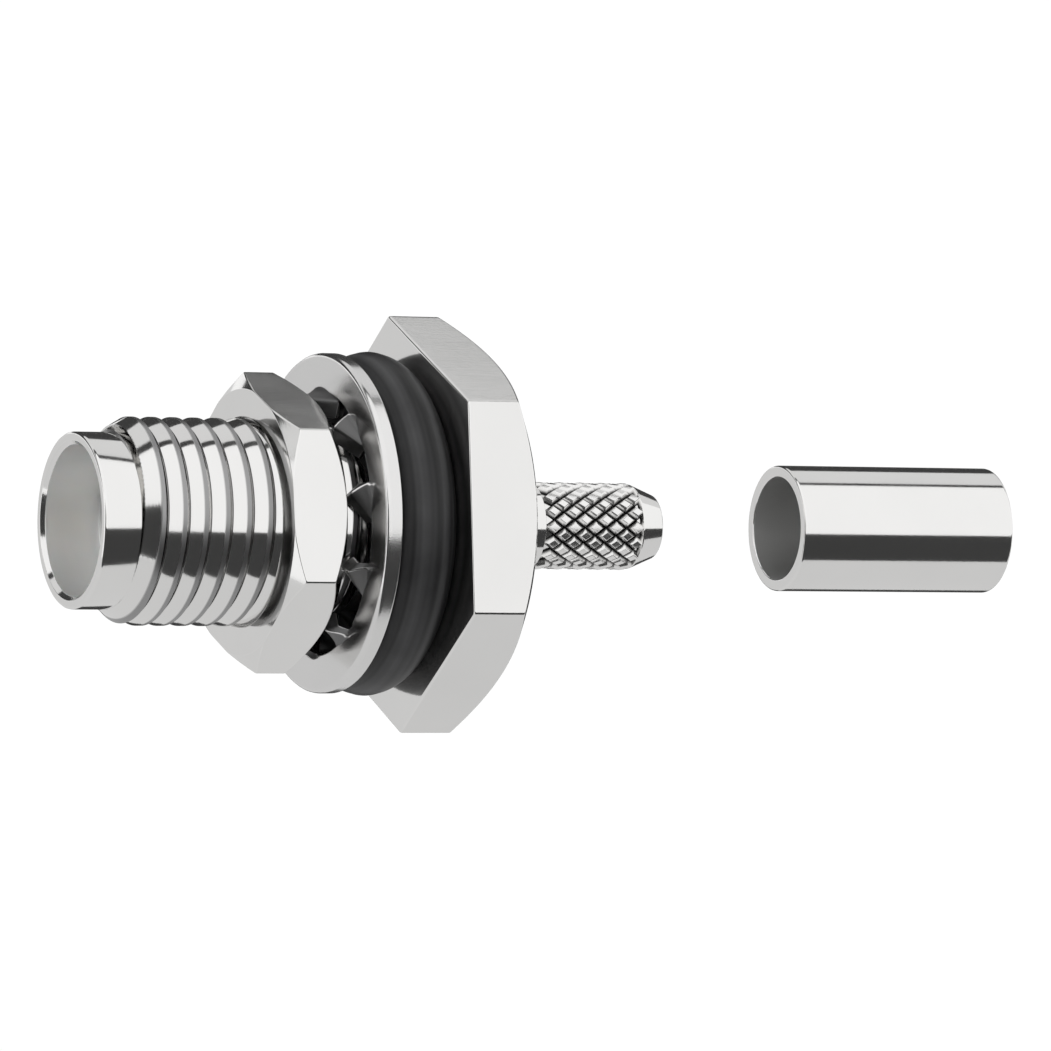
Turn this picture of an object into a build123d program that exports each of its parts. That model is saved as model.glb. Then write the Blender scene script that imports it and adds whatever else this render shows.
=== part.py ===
"""Threaded coaxial bulkhead jack for a crimped cable, with its panel hardware and loose ferrule.

X runs along the connector, from the mating end (minus) to the cable end (plus), and Z is up. The
origin is where the axis crosses the flange face that the panel is clamped against. Millimetres.
"""

import os
from math import ceil, radians, tan

from build123d import *

# Coupling and panel thread, a quarter inch with 36 turns to the inch
thread_diameter = 6.35
thread_pitch = 25.4 / 36
thread_depth = 0.42
thread_flank_angle = 30
thread_start = 0.45
thread_play = 0.05
thread_lead_in = 0.55
thread_relief_length = 2.0
thread_relief_depth = 0.045

# Nose of the body, ahead of the flange
nose_length = 9.70
pilot_step = 0.045
pilot_length = 1.14
pilot_edge = 0.06
mating_bore = 4.64
mating_depth = 1.93

# Hexagonal flange and crimp stem of the body
flange_across_flats = 11.26
flange_thickness = 2.35
flange_chamfer_depth = 0.65
stem_diameter = 2.70
stem_length = 6.48
stem_taper_length = 0.85
stem_bore = 1.65
stem_lip = 0.175

# Insulator and centre contact
insulator_diameter = 4.10
insulator_stop = 0.55
insert_play = 0.02
contact_diameter = 1.27
contact_socket_bore = 0.93
contact_socket_depth = 2.90
contact_slot_width = 0.16
contact_slot_length = 2.50
contact_collar_play = 0.075
contact_collar_length = 0.50
contact_barrel_diameter = 1.10
contact_barrel_length = 1.60
contact_chamber_room = 0.30
contact_wire_bore = 0.56
contact_wire_depth = 1.40

# Sealing ring
seal_section = 2.00
seal_sides = 12
seal_play = 0.125

# Lock washer, and the room that it leaves the sealing ring
washer_diameter = 10.50
washer_ring_bore = 8.10
washer_thickness = 0.52
washer_room = 0.11
tooth_count = 10
tooth_width = 1.30
tooth_tip_width = 1.10
tooth_twist = 42
tooth_set = 0.28
tooth_play = 0.15
tooth_root_depth = 0.20
tooth_clock = 2

# Panel nut, which bears on the tips of the washer's teeth
nut_across_flats = 8.11
nut_thickness = 2.10
nut_chamfer_depth = 0.59
nut_stand_off = 0.72
nut_clock = -1.84
nut_countersink = 0.45
corner_chamfer_angle = 30

# Crimp ferrule, shown before it is pushed over the stem and the cable's braid
ferrule_wall = 0.36
braid_room = 0.275
ferrule_length = 7.45
ferrule_distance = 4.50
ferrule_edge = 0.06

# Radii and stations along the axis that follow from the sizes above
thread_radius = thread_diameter / 2
root_radius = thread_radius - thread_depth
relief_radius = root_radius - thread_relief_depth
pilot_radius = root_radius - pilot_step
nose_front = -nose_length - pilot_length
mating_floor = nose_front + mating_depth
stem_back = flange_thickness + stem_length
stem_radius = stem_diameter / 2
stem_bore_radius = stem_bore / 2
collar_radius = stem_bore_radius - contact_collar_play
collar_back = insulator_stop + contact_collar_length
contact_back = collar_back + contact_barrel_length
chamber_radius = collar_radius + contact_chamber_room
chamber_back = contact_back + contact_chamber_room
washer_back = -seal_section - washer_room
washer_front = washer_back - washer_thickness
nut_back = washer_front - nut_stand_off
nut_front = nut_back - nut_thickness
ferrule_front = stem_back + ferrule_distance
ferrule_back = ferrule_front + ferrule_length
ferrule_bore_radius = stem_radius + braid_room
ferrule_radius = ferrule_bore_radius + ferrule_wall
flank_slope = tan(radians(thread_flank_angle))
crest_width = thread_pitch / 8
floor_width = thread_pitch - crest_width - 2 * thread_depth * flank_slope

# How far cutters and blanks reach past the surfaces that they cut
cut_margin = 1.0
corner_margin = 0.1
groove_margin = 0.02
blank_overrun = 3 * thread_pitch


def turned(points):
    """Solid of revolution about the axis from the corners (station, radius) of its half section."""
    with BuildPart(mode=Mode.PRIVATE) as lathe:
        with BuildSketch(Plane.XY):
            with BuildLine():
                Polyline(*points, close=True)
            make_face()
        revolve(axis=Axis.X)
    return lathe.part


def ring_section(front, back, inner_radius, outer_radius):
    """Half section of a plain ring between two stations."""
    return [(front, inner_radius), (back, inner_radius), (back, outer_radius), (front, outer_radius)]


def chamfered_hexagon(across_flats, front, back, chamfer_depth, both_ends=False, turn=0):
    """Hexagonal blank whose corners are turned off at its back, or at both ends, to this depth."""
    corner_radius = across_flats / 3**0.5
    slope = tan(radians(corner_chamfer_angle))
    face_radius = corner_radius - chamfer_depth / slope
    outer_radius = corner_radius + corner_margin
    outer_depth = chamfer_depth + corner_margin * slope
    outline = [(back, 0), (back, face_radius), (back - outer_depth, outer_radius)]
    if both_ends:
        outline += [(front + outer_depth, outer_radius), (front, face_radius)]
    else:
        outline += [(front, outer_radius)]
    outline += [(front, 0)]
    with BuildPart(mode=Mode.PRIVATE) as blank:
        with BuildSketch(Plane.YZ.offset(front)):
            RegularPolygon(across_flats / 2, 6, major_radius=False, rotation=turn)
        extrude(amount=back - front)
        add(turned(outline), mode=Mode.INTERSECT)
    return blank.part


def thread_groove(front, back, floor_radius, mouth_radius, floor_width, first_floor):
    """Right-handed helical groove past both stations, whose floor crosses the top at this station."""
    lead_turns = ceil((first_floor - front) / thread_pitch) + 1
    groove_front = first_floor - lead_turns * thread_pitch
    turns = ceil((back - groove_front) / thread_pitch) + 1
    height = abs(mouth_radius - floor_radius)
    outward = 1 if mouth_radius > floor_radius else -1
    half_floor = floor_width / 2
    half_mouth = half_floor + height * flank_slope
    with BuildLine(mode=Mode.PRIVATE) as course:
        for turn in range(turns):
            start = (groove_front + turn * thread_pitch, 0, 0)
            Helix(thread_pitch, thread_pitch, floor_radius, center=start, direction=(1, 0, 0))
    path = course.wire()
    section = Plane(path @ 0, x_dir=(1, 0, 0), z_dir=(0, -1, 0))
    with BuildPart(mode=Mode.PRIVATE) as groove:
        with BuildSketch(section):
            with BuildLine():
                Polyline(
                    (-half_floor, 0),
                    (half_floor, 0),
                    (half_mouth, height * outward),
                    (-half_mouth, height * outward),
                    close=True,
                )
            make_face()
        sweep(path=path, is_frenet=True)
    return groove.part


# Body: nose, flange and crimp stem turned from one bar, with the thread cut on the nose
thread_front = -nose_length
thread_back = -thread_relief_length
first_groove = thread_front + thread_start
clear_radius = thread_radius + groove_margin

with BuildPart() as threaded_length:
    with BuildSketch(Plane.YZ.offset(thread_front - blank_overrun)):
        Circle(thread_radius)
    extrude(amount=thread_back - thread_front + 2 * blank_overrun)
    add(
        thread_groove(thread_front, thread_back, root_radius, clear_radius, floor_width, first_groove),
        mode=Mode.SUBTRACT,
    )
    add(
        turned(
            [
                (thread_front, 0),
                (thread_front, root_radius),
                (thread_front + thread_lead_in, clear_radius),
                (thread_back - thread_lead_in, clear_radius),
                (thread_back, root_radius),
                (thread_back, 0),
            ]
        ),
        mode=Mode.INTERSECT,
    )

with BuildPart() as body:
    add(threaded_length.part)
    add(
        turned(
            [
                (nose_front, 0),
                (nose_front, pilot_radius - pilot_edge),
                (nose_front + pilot_edge, pilot_radius),
                (thread_front, pilot_radius),
                (thread_front, 0),
            ]
        )
    )
    add(turned(ring_section(thread_back, 0, 0, relief_radius)))
    add(chamfered_hexagon(flange_across_flats, 0, flange_thickness, flange_chamfer_depth))
    add(
        turned(
            [
                (flange_thickness, 0),
                (flange_thickness, stem_radius),
                (stem_back - stem_taper_length, stem_radius),
                (stem_back, stem_bore_radius + stem_lip),
                (stem_back, 0),
            ]
        )
    )
    insulator_bore = insulator_diameter / 2 + insert_play
    add(turned(ring_section(nose_front - cut_margin, mating_floor, 0, mating_bore / 2)), mode=Mode.SUBTRACT)
    add(turned(ring_section(mating_floor, insulator_stop, 0, insulator_bore)), mode=Mode.SUBTRACT)
    add(turned(ring_section(insulator_stop, chamber_back, 0, chamber_radius)), mode=Mode.SUBTRACT)
    add(turned(ring_section(chamber_back, stem_back + cut_margin, 0, stem_bore_radius)), mode=Mode.SUBTRACT)
body.part.label = "body"

# Insulator: a plain bush that seats against the shoulder inside the flange
with BuildPart() as insulator:
    contact_bore = contact_diameter / 2 + insert_play
    add(turned(ring_section(mating_floor, insulator_stop, contact_bore, insulator_diameter / 2)))
insulator.part.label = "insulator"

# Centre contact: slotted socket, collar that stops it against the insulator, and wire barrel
with BuildPart() as center_contact:
    add(turned(ring_section(mating_floor, insulator_stop, 0, contact_diameter / 2)))
    add(turned(ring_section(insulator_stop, collar_back, 0, collar_radius)))
    add(turned(ring_section(collar_back, contact_back, 0, contact_barrel_diameter / 2)))
    socket_floor = mating_floor + contact_socket_depth
    add(
        turned(ring_section(mating_floor - cut_margin, socket_floor, 0, contact_socket_bore / 2)),
        mode=Mode.SUBTRACT,
    )
    wire_floor = contact_back - contact_wire_depth
    add(
        turned(ring_section(wire_floor, contact_back + cut_margin, 0, contact_wire_bore / 2)),
        mode=Mode.SUBTRACT,
    )
    with BuildSketch(Plane.YZ.offset(mating_floor)):
        Rectangle(contact_slot_width, contact_diameter + cut_margin)
        Rectangle(contact_diameter + cut_margin, contact_slot_width)
    extrude(amount=contact_slot_length, mode=Mode.SUBTRACT)
center_contact.part.label = "center_contact"

# Sealing ring: cord of many-sided, all but round section, lying against the flange
seal_radius = thread_radius + seal_play + seal_section / 2

with BuildPart() as o_ring:
    with BuildSketch(Plane.XY):
        with Locations((-seal_section / 2, seal_radius)):
            RegularPolygon(seal_section / 2, seal_sides, major_radius=False, rotation=180 / seal_sides)
    revolve(axis=Axis.X)
o_ring.part.label = "o_ring"

# Lock washer: a flat ring whose inner teeth are twisted and set towards the nut
tooth_tip_radius = thread_radius + tooth_play
tooth_base_radius = washer_ring_bore / 2 + tooth_root_depth

with BuildPart() as tooth:
    with BuildSketch(Plane.YZ.offset(tooth_base_radius)):
        with Locations((0, -tooth_set)):
            Rectangle(tooth_width, washer_thickness, rotation=tooth_twist)
    with BuildSketch(Plane.YZ.offset(tooth_tip_radius)):
        with Locations((0, -tooth_set)):
            Rectangle(tooth_tip_width, washer_thickness, rotation=tooth_twist)
    loft(ruled=True)

with BuildPart() as lock_washer:
    add(turned(ring_section(washer_front, washer_back, washer_ring_bore / 2, washer_diameter / 2)))
    with Locations(Plane.YZ.offset(washer_back - washer_thickness / 2)):
        with PolarLocations(0, tooth_count, start_angle=tooth_clock):
            add(tooth.part)
lock_washer.part.label = "lock_washer"

# Panel nut: hexagon chamfered on both faces, threaded to mesh with the body
nut_bore_radius = root_radius + thread_play
nut_root_radius = thread_radius + thread_play
nut_floor_width = crest_width + 2 * thread_play * flank_slope
nut_mouth_radius = nut_bore_radius - groove_margin
nut_groove = first_groove + thread_pitch / 2

with BuildPart() as hex_nut:
    with BuildSketch(Plane.YZ.offset(nut_front - blank_overrun)):
        Circle(nut_across_flats)
        Circle(nut_bore_radius, mode=Mode.SUBTRACT)
    extrude(amount=nut_thickness + 2 * blank_overrun)
    add(
        thread_groove(nut_front, nut_back, nut_root_radius, nut_mouth_radius, nut_floor_width, nut_groove),
        mode=Mode.SUBTRACT,
    )
    add(
        chamfered_hexagon(nut_across_flats, nut_front, nut_back, nut_chamfer_depth, True, nut_clock),
        mode=Mode.INTERSECT,
    )
    for face, inward in ((nut_front, 1), (nut_back, -1)):
        mouth = [(face, 0), (face, nut_bore_radius + nut_countersink)]
        mouth += [(face + nut_countersink * inward, nut_bore_radius)]
        mouth += [(face + nut_countersink * inward, 0)]
        add(turned(mouth), mode=Mode.SUBTRACT)
hex_nut.part.label = "hex_nut"

# Crimp ferrule: plain tube with its edges broken
with BuildPart() as crimp_ferrule:
    add(
        turned(
            [
                (ferrule_front, ferrule_bore_radius),
                (ferrule_front, ferrule_radius - ferrule_edge),
                (ferrule_front + ferrule_edge, ferrule_radius),
                (ferrule_back - ferrule_edge, ferrule_radius),
                (ferrule_back, ferrule_radius - ferrule_edge),
                (ferrule_back, ferrule_bore_radius),
            ]
        )
    )
crimp_ferrule.part.label = "crimp_ferrule"

os.makedirs("parts", exist_ok=True)
for piece in (body, insulator, center_contact, o_ring, lock_washer, hex_nut, crimp_ferrule):
    export_step(piece.part, f"parts/{piece.part.label}.step")
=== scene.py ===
"""Dressed scene of a threaded coaxial panel jack, its seal, washer and nut, and its crimp ferrule.

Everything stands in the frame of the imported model: X runs from the mating end to the cable end, Z is
up, and the origin is where the axis crosses the flange face that the panel is clamped against. The
sizes that the classes hold are millimetres, and angles about the axis start at +Y and turn to +Z.
"""

from __future__ import annotations

import logging
import math
from dataclasses import dataclass
from enum import Enum
from typing import Sequence

import bmesh
import bpy
from mathutils import Matrix, Vector


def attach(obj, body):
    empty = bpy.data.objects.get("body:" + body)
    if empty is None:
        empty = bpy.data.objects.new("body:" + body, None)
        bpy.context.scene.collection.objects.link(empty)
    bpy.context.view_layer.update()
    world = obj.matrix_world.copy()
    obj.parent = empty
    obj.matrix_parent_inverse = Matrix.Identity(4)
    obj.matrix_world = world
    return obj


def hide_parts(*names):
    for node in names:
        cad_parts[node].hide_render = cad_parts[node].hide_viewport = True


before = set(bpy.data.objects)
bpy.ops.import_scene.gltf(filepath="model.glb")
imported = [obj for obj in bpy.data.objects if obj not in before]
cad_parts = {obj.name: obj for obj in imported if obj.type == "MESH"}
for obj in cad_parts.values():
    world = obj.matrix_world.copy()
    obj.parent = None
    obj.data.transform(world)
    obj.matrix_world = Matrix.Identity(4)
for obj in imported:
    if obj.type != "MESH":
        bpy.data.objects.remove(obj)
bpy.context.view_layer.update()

log = logging.getLogger("jack")

MM = 0.001
TURN = 2 * math.pi
THREAD_PITCH = 25.4 / 36
FIRST_GROOVE = -9.25
SHARP_ANGLE = math.radians(28)
ROUNDING_ROOM = 0.42
FLANK_ANGLE = math.radians(30)
CHAMFER_ANGLE = math.radians(30)

SectionPoint = tuple[float, float, float]
Colour = tuple[float, float, float]


# Sections and shells


@dataclass(frozen=True)
class Corner:
    """A corner of a half section: its station, its radius and how far its edge is rounded."""

    station: float
    radius: float
    rounding: float = 0.0


def rounded_section(corners: Sequence[Corner], steps: int = 4) -> list[SectionPoint]:
    """Rounds the corners of a closed half section.

    Args:
        corners: The corners in order, along the outside from front to back and home through the bore.
        steps: How many segments each rounded corner has.

    Returns:
        Points (station, radius, edge), where edge is 1 on a rounded corner and 0 away from it.
    """
    points: list[SectionPoint] = []
    count = len(corners)
    for index, corner in enumerate(corners):
        here = Vector((corner.station, corner.radius))
        if corner.rounding <= 0:
            points.append((here.x, here.y, 0.0))
            continue
        before = corners[index - 1]
        after = corners[(index + 1) % count]
        to_before = Vector((before.station, before.radius)) - here
        to_after = Vector((after.station, after.radius)) - here
        room = ROUNDING_ROOM * min(to_before.length, to_after.length)
        to_before.normalize()
        to_after.normalize()
        half = to_before.angle(to_after) / 2
        tangent = min(corner.rounding / math.tan(half), room)
        radius = tangent * math.tan(half)
        centre = here + (to_before + to_after).normalized() * radius / math.sin(half)
        first = here + to_before * tangent - centre
        last = here + to_after * tangent - centre
        sweep = math.pi - 2 * half
        margin = min(1.15 * tangent, tangent + 0.03)
        outer = here + to_before * margin
        points.append((outer.x, outer.y, 0.0))
        for step in range(steps + 1):
            share = step / steps
            a = math.sin((1 - share) * sweep) / math.sin(sweep)
            b = math.sin(share * sweep) / math.sin(sweep)
            point = centre + first * a + last * b
            points.append((point.x, point.y, math.sin(math.pi * (0.15 + 0.7 * share))))
        outer = here + to_after * margin
        points.append((outer.x, outer.y, 0.0))
    return points


def mesh_of(name: str, vertices: list, faces: list, layers: dict[str, list[float]]) -> bpy.types.Mesh:
    """Makes a mesh in metres from vertices in millimetres, with one number per vertex in each layer.

    Args:
        name: Name of the mesh.
        vertices: Corners in millimetres.
        faces: Corner indices of each face.
        layers: Values per vertex of each named attribute.

    Returns:
        The mesh, with coincident corners joined and its faces turned outwards.
    """
    mesh = bpy.data.meshes.new(name)
    mesh.from_pydata([Vector(v) * MM for v in vertices], [], faces)
    for layer, values in layers.items():
        attribute = mesh.attributes.new(layer, "FLOAT", "POINT")
        attribute.data.foreach_set("value", values)
    return tidy(mesh)


def tidy(mesh: bpy.types.Mesh) -> bpy.types.Mesh:
    """Joins coincident corners, turns the faces outwards and shades the mesh smooth up to its edges."""
    work = bmesh.new()
    work.from_mesh(mesh)
    bmesh.ops.remove_doubles(work, verts=work.verts, dist=1e-7)
    bmesh.ops.recalc_face_normals(work, faces=work.faces)
    work.to_mesh(mesh)
    work.free()
    mesh.shade_smooth()
    mesh.set_sharp_from_angle(angle=SHARP_ANGLE)
    mesh.update()
    return mesh


def even_angles(count: int) -> list[float]:
    """Angles that share a full turn evenly."""
    return [TURN * index / count for index in range(count)]


def hexagon_angles(clock: float, per_flat: int = 20) -> list[float]:
    """Angles about the axis, even along a hexagon's flats and close together at its corners.

    Args:
        clock: Angle of one corner in degrees.
        per_flat: How many even steps each flat has.

    Returns:
        The angles in radians, rising.
    """
    near = (0.0, 0.12, 0.24, 0.36, 0.5, 0.8, 1.4)
    offsets = [-value for value in reversed(near[1:])] + list(near)
    step = (60 - 2 * near[-1]) / per_flat
    offsets += [near[-1] + step * index for index in range(1, per_flat)]
    return [math.radians(clock + 60 * flat + offset) for flat in range(6) for offset in offsets]


def hexagon_radius(angle: float, across_flats: float, corner_rounding: float, clock: float) -> float:
    """Distance from the axis to a hexagon's edge, its corners rounded.

    Args:
        angle: Angle about the axis in radians.
        across_flats: Size across the flats.
        corner_rounding: Radius of the rounded corners.
        clock: Angle of one corner in degrees.

    Returns:
        The distance in millimetres.
    """
    sixth = TURN / 6
    offset = (angle - math.radians(clock) + sixth / 2) % sixth - sixth / 2
    centre = across_flats / math.sqrt(3) - corner_rounding / math.sin(math.radians(60))
    reach = math.radians(30)
    limit = math.atan2(corner_rounding * math.sin(reach), centre + corner_rounding * math.cos(reach))
    if abs(offset) <= limit:
        across = centre * math.sin(offset)
        return centre * math.cos(offset) + math.sqrt(corner_rounding**2 - across**2)
    return across_flats / 2 / math.cos(reach - abs(offset))


def shell(
    name: str, angles: Sequence[float], sections: Sequence[Sequence[SectionPoint]]
) -> bpy.types.Mesh:
    """Closed shell about the axis, with one closed half section at each angle.

    Args:
        name: Name of the mesh.
        angles: Angles about the axis, rising.
        sections: A half section for each angle, all with as many points.

    Returns:
        The mesh, with its rounded edges in the attribute "edge".
    """
    count = len(sections[0])
    vertices = []
    edge = []
    for angle, section in zip(angles, sections):
        for station, radius, rounded in section:
            vertices.append((station, radius * math.cos(angle), radius * math.sin(angle)))
            edge.append(rounded)
    faces = []
    for ring in range(len(angles)):
        here = ring * count
        there = (ring + 1) % len(angles) * count
        for point in range(count):
            after = (point + 1) % count
            faces.append((here + point, there + point, there + after, here + after))
    return mesh_of(name, vertices, faces, {"edge": edge})


def turned(name: str, corners: Sequence[Corner], count: int = 192, steps: int = 4) -> bpy.types.Mesh:
    """Shell of revolution from the corners of its half section."""
    section = rounded_section(corners, steps)
    return shell(name, even_angles(count), [section] * count)


# Node trees


class NodeSheet:
    """A short way to lay nodes in one tree and join them."""

    def __init__(self, tree: bpy.types.NodeTree) -> None:
        """Works on this tree."""
        self.tree = tree

    def add(self, kind: str, inputs: dict | None = None, **settings: object) -> bpy.types.Node:
        """Lays one node.

        Args:
            kind: The node's type.
            inputs: Values or sockets for its inputs, by name or place.
            settings: The node's own settings.

        Returns:
            The node.
        """
        node = self.tree.nodes.new(kind)
        for key, value in settings.items():
            setattr(node, key, value)
        for key, value in (inputs or {}).items():
            if isinstance(value, bpy.types.NodeSocket):
                self.tree.links.new(value, node.inputs[key])
            else:
                node.inputs[key].default_value = value
        return node

    def math(self, operation: str, *values: object, clamp: bool = False) -> bpy.types.NodeSocket:
        """Result of one arithmetic step on numbers or sockets."""
        node = self.add("ShaderNodeMath", dict(enumerate(values)), operation=operation, use_clamp=clamp)
        return node.outputs[0]

    def ramp(
        self, value: object, start: float, end: float, low: float, high: float
    ) -> bpy.types.NodeSocket:
        """A number mapped from one range to another and held at its ends."""
        spans = {"Value": value, "From Min": start, "From Max": end, "To Min": low, "To Max": high}
        return self.add("ShaderNodeMapRange", spans).outputs["Result"]

    def vector(self, x: object, y: object, z: object) -> bpy.types.NodeSocket:
        """A vector from three numbers or sockets."""
        return self.add("ShaderNodeCombineXYZ", {"X": x, "Y": y, "Z": z}).outputs[0]


class ShapeTree(NodeSheet):
    """A Geometry Nodes tree with named sizes, which ends in realized instances and one material."""

    def __init__(self, name: str, sizes: dict[str, float]) -> None:
        """Starts a tree.

        Args:
            name: Name of the tree.
            sizes: The named inputs and their values, whole numbers where the value is an int.
        """
        super().__init__(bpy.data.node_groups.new(name, "GeometryNodeTree"))
        self.sizes = sizes
        face = self.tree.interface
        face.new_socket("Geometry", in_out="INPUT", socket_type="NodeSocketGeometry")
        face.new_socket("Finish", in_out="INPUT", socket_type="NodeSocketMaterial")
        for label, value in sizes.items():
            kind = "NodeSocketInt" if isinstance(value, int) else "NodeSocketFloat"
            face.new_socket(label, in_out="INPUT", socket_type=kind)
        face.new_socket("Geometry", in_out="OUTPUT", socket_type="NodeSocketGeometry")
        self.given = self.add("NodeGroupInput").outputs

    def close(self, geometry: bpy.types.NodeSocket) -> None:
        """Ends the tree with this geometry."""
        real = self.add("GeometryNodeRealizeInstances", {"Geometry": geometry})
        inputs = {"Geometry": real.outputs[0], "Material": self.given["Finish"]}
        dressed = self.add("GeometryNodeSetMaterial", inputs)
        self.add("NodeGroupOutput", {"Geometry": dressed.outputs[0]})

    def grow(self, name: str, base: bpy.types.Mesh, finish: bpy.types.Material) -> bpy.types.Mesh:
        """Runs the tree on a base mesh.

        Args:
            name: Name of the finished mesh.
            base: The mesh that the tree repeats or sweeps.
            finish: The material of the result.

        Returns:
            A plain mesh in metres.
        """
        host = bpy.data.objects.new(name, base)
        bpy.context.scene.collection.objects.link(host)
        modifier = host.modifiers.new("shape", "NODES")
        modifier.node_group = self.tree
        values = dict(self.sizes, Finish=finish)
        for item in self.tree.interface.items_tree:
            if item.in_out == "INPUT" and item.name in values:
                modifier[item.identifier] = values[item.name]
        graph = bpy.context.evaluated_depsgraph_get()
        mesh = bpy.data.meshes.new_from_object(
            host.evaluated_get(graph), preserve_all_data_layers=True, depsgraph=graph
        )
        mesh.name = name
        host.modifiers.clear()
        bpy.data.objects.remove(host)
        return tidy(mesh)


# Surface effects that several finishes share


class Marks(Enum):
    """How a metal surface was made, and so which way its fine lines run."""

    TURNED = "turned marks"
    DRAWN = "drawn marks"
    STAMPED = "stamped grain"


class SurfaceEffects:
    """Shader node groups for marks, smudges, edges lightened by wear and painted highlight, and painted
    shade, each built once.
    """

    groups: dict[str, bpy.types.NodeTree] = {}

    @classmethod
    def _start(cls, name: str, inputs: dict[str, float], outputs: Sequence[str]) -> NodeSheet:
        """Opens a new group with these numbers in and out."""
        tree = bpy.data.node_groups.new(name, "ShaderNodeTree")
        for label, value in inputs.items():
            socket = tree.interface.new_socket(label, in_out="INPUT", socket_type="NodeSocketFloat")
            socket.default_value = value
        for label in outputs:
            tree.interface.new_socket(label, in_out="OUTPUT", socket_type="NodeSocketFloat")
        cls.groups[name] = tree
        return NodeSheet(tree)

    @classmethod
    def marks(cls, marks: Marks) -> bpy.types.NodeTree:
        """Fine lines left by turning, drawing or stamping, as a height from 0 to 1.

        Args:
            marks: Which way the lines run.

        Returns:
            A group with the input Spacing, in metres, and the outputs Height and Patch.
        """
        if marks.value in cls.groups:
            return cls.groups[marks.value]
        sheet = cls._start(marks.value, {"Spacing": 0.00005}, ("Height", "Patch"))
        given = sheet.add("NodeGroupInput").outputs
        spot = sheet.add("ShaderNodeTexCoord").outputs["Object"]
        axes = sheet.add("ShaderNodeSeparateXYZ", {0: spot}).outputs
        per = sheet.math("DIVIDE", 1.0, given["Spacing"])
        squares = [sheet.math("POWER", axis, 2.0) for axis in (axes[1], axes[2])]
        radius = sheet.math("SQRT", sheet.math("ADD", *squares))
        along = sheet.math("MULTIPLY", axes[0], per)
        outward = sheet.math("MULTIPLY", radius, per)
        y = sheet.math("MULTIPLY", axes[1], per)
        z = sheet.math("MULTIPLY", axes[2], per)
        if marks is Marks.TURNED:
            spread = sheet.vector(
                along, outward, sheet.math("MULTIPLY", sheet.math("ADD", y, z), 0.012)
            )
        elif marks is Marks.DRAWN:
            spread = sheet.vector(sheet.math("MULTIPLY", along, 0.05), y, z)
        else:
            spread = sheet.vector(sheet.math("MULTIPLY", along, 0.8), y, z)
        noise = sheet.add("ShaderNodeTexNoise", {"Vector": spread, "Scale": 1.0, "Detail": 3.0})
        broad = sheet.add("ShaderNodeTexNoise", {"Vector": spread, "Scale": 0.11, "Detail": 2.0})
        sheet.add(
            "NodeGroupOutput", {"Height": noise.outputs["Fac"], "Patch": broad.outputs["Fac"]}
        )
        return sheet.tree

    @classmethod
    def smudges(cls) -> bpy.types.NodeTree:
        """Broad uneven patches of handling and plating, from 0 to 1."""
        name = "plating smudges"
        if name in cls.groups:
            return cls.groups[name]
        sheet = cls._start(name, {"Size": 0.002, "Contrast": 1.0}, ("Mask",))
        given = sheet.add("NodeGroupInput").outputs
        spot = sheet.add("ShaderNodeTexCoord").outputs["Object"]
        scale = sheet.math("DIVIDE", 1.0, given["Size"])
        noise = sheet.add("ShaderNodeTexNoise", {"Vector": spot, "Scale": scale, "Detail": 4.0})
        centred = sheet.math("SUBTRACT", noise.outputs["Fac"], 0.5)
        spread = sheet.math("MULTIPLY", centred, given["Contrast"])
        sheet.add("NodeGroupOutput", {"Mask": sheet.math("ADD", spread, 0.5, clamp=True)})
        return sheet.tree

    @classmethod
    def specks(cls) -> bpy.types.NodeTree:
        """Very fine grain of a plated or moulded surface, as a height from 0 to 1."""
        name = "fine specks"
        if name in cls.groups:
            return cls.groups[name]
        sheet = cls._start(name, {"Size": 0.00004}, ("Height",))
        given = sheet.add("NodeGroupInput").outputs
        spot = sheet.add("ShaderNodeTexCoord").outputs["Object"]
        scale = sheet.math("DIVIDE", 1.0, given["Size"])
        noise = sheet.add("ShaderNodeTexNoise", {"Vector": spot, "Scale": scale, "Detail": 2.0})
        sheet.add("NodeGroupOutput", {"Height": noise.outputs["Fac"]})
        return sheet.tree

    @classmethod
    def edges(cls) -> bpy.types.NodeTree:
        """Where rounded edges are lighter, partly rubbed bright by wear and partly a painted highlight,
        from the mesh's own edge attribute.
        """
        name = "worn and highlit edges"
        if name in cls.groups:
            return cls.groups[name]
        sheet = cls._start(name, {"Size": 0.0004}, ("Mask",))
        given = sheet.add("NodeGroupInput").outputs
        edge = sheet.add("ShaderNodeAttribute", attribute_name="edge").outputs["Fac"]
        spot = sheet.add("ShaderNodeTexCoord").outputs["Object"]
        scale = sheet.math("DIVIDE", 1.0, given["Size"])
        noise = sheet.add("ShaderNodeTexNoise", {"Vector": spot, "Scale": scale, "Detail": 3.0})
        uneven = sheet.ramp(noise.outputs["Fac"], 0.35, 0.65, 0.4, 1.0)
        sheet.add("NodeGroupOutput", {"Mask": sheet.math("MULTIPLY", edge, uneven)})
        return sheet.tree

    @classmethod
    def painted_shades(cls) -> bpy.types.NodeTree:
        """Where painted shade darkens grooves and the washer teeth's flats, from the mesh's own
        attribute.
        """
        name = "painted groove shade"
        if name in cls.groups:
            return cls.groups[name]
        sheet = cls._start(name, {"Start": 0.5, "End": 1.0}, ("Mask",))
        given = sheet.add("NodeGroupInput").outputs
        painted_shade = sheet.add("ShaderNodeAttribute", attribute_name="painted_shade").outputs["Fac"]
        spans = {"Value": painted_shade, "From Min": given["Start"], "From Max": given["End"]}
        mask = sheet.add("ShaderNodeMapRange", spans, interpolation_type="SMOOTHSTEP")
        sheet.add("NodeGroupOutput", {"Mask": mask.outputs["Result"]})
        return sheet.tree


# Finishes


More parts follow.
